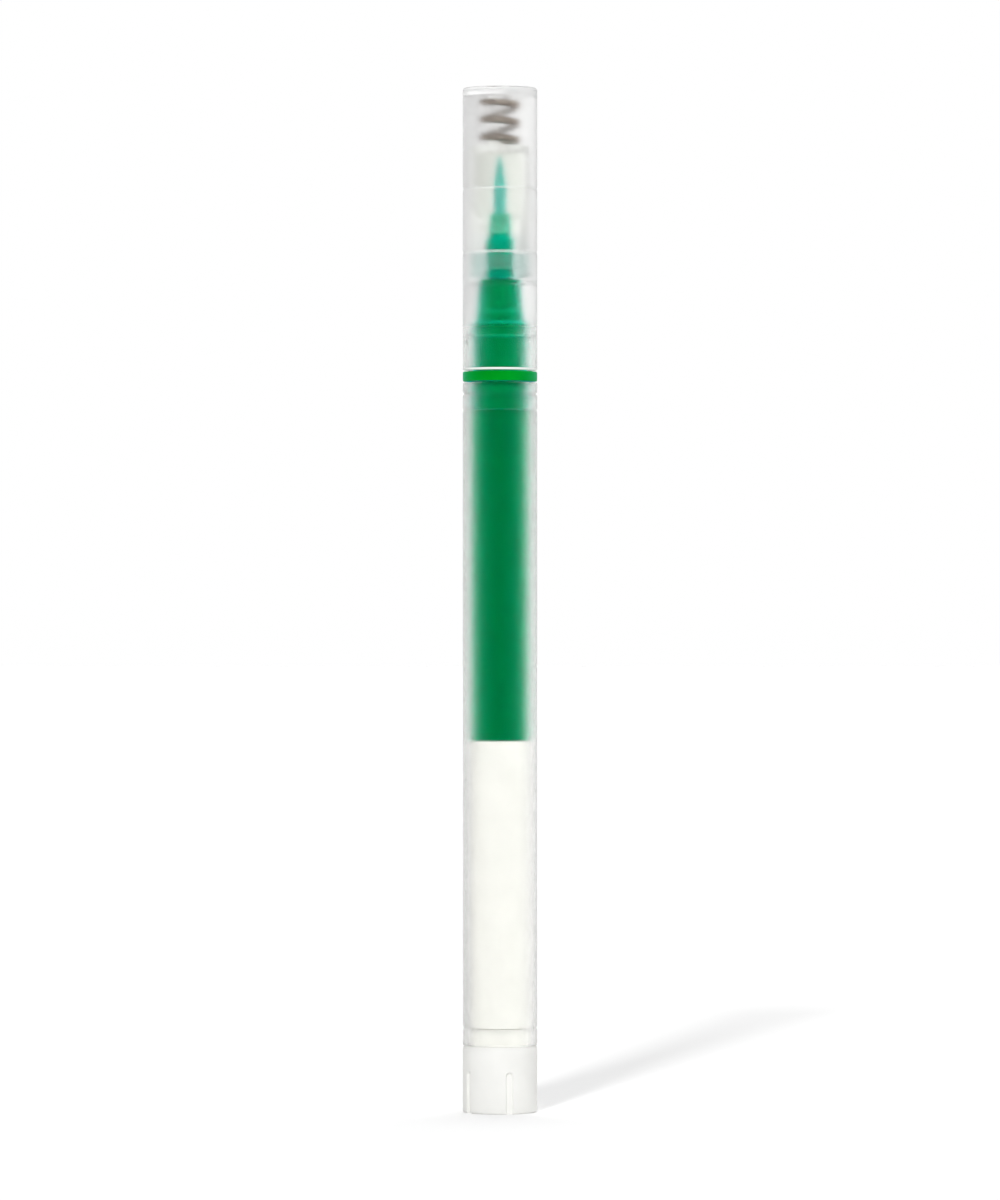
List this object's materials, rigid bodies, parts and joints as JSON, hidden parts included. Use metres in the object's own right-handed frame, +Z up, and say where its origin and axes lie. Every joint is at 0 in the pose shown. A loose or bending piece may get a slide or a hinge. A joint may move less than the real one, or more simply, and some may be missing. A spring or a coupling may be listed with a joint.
{
  "type": "eyeliner pen",
  "caption": "Slim round liquid eyeliner pen with a frosted barrel over a green fibre reservoir, a fibre nib, and a frosted push-on cap holding a sprung sealing cup.",
  "frame": {"origin": "centre of the tail's flat foot, on which the pen stands", "axes": "+Z up the pen's axis towards the cap, -Y towards the viewer of the picture, +X to that viewer's right"},
  "size_m": [0.01, 0.01, 0.1374],
  "materials": {
    "white_plastic": "moulded, satin white",
    "frosted_plastic": "frosted, translucent",
    "frosted_clear_plastic": "lightly frosted, nearly clear",
    "natural_plastic": "natural, translucent",
    "green_plastic": "moulded, satin green",
    "inked_fibre": "bundled fibre soaked with green ink",
    "nib_fibre": "bonded fibre, ink stained",
    "clear_film": "thin clear film",
    "spring_steel": "drawn wire"
  },
  "bodies": {
    "pen_body": {"tail_plug": "white_plastic", "barrel": "frosted_plastic", "spacer_tube": "white_plastic", "reservoir_core": "inked_fibre", "reservoir_sleeve": "clear_film", "front_section": "green_plastic", "nib_holder": "green_plastic", "fibre_nib": "nib_fibre"},
    "cap": {"cap_shell": "frosted_clear_plastic", "cap_spring": "spring_steel"},
    "sealing_cup": {"sealing_cup": "natural_plastic"}
  },
  "joints": [
    {"name": "cap_slide", "type": "slide", "parent": "pen_body", "child": "cap", "axis": [0, 0, 1], "range_m": [0, 0.045]},
    {"name": "cup_slide", "type": "slide", "parent": "cap", "child": "sealing_cup", "axis": [0, 0, 1], "range_m": [0, 0.0022], "stiffness_N_per_m": 250, "springref_m": -0.002, "deforming": ["cap_spring"]}
  ]
}
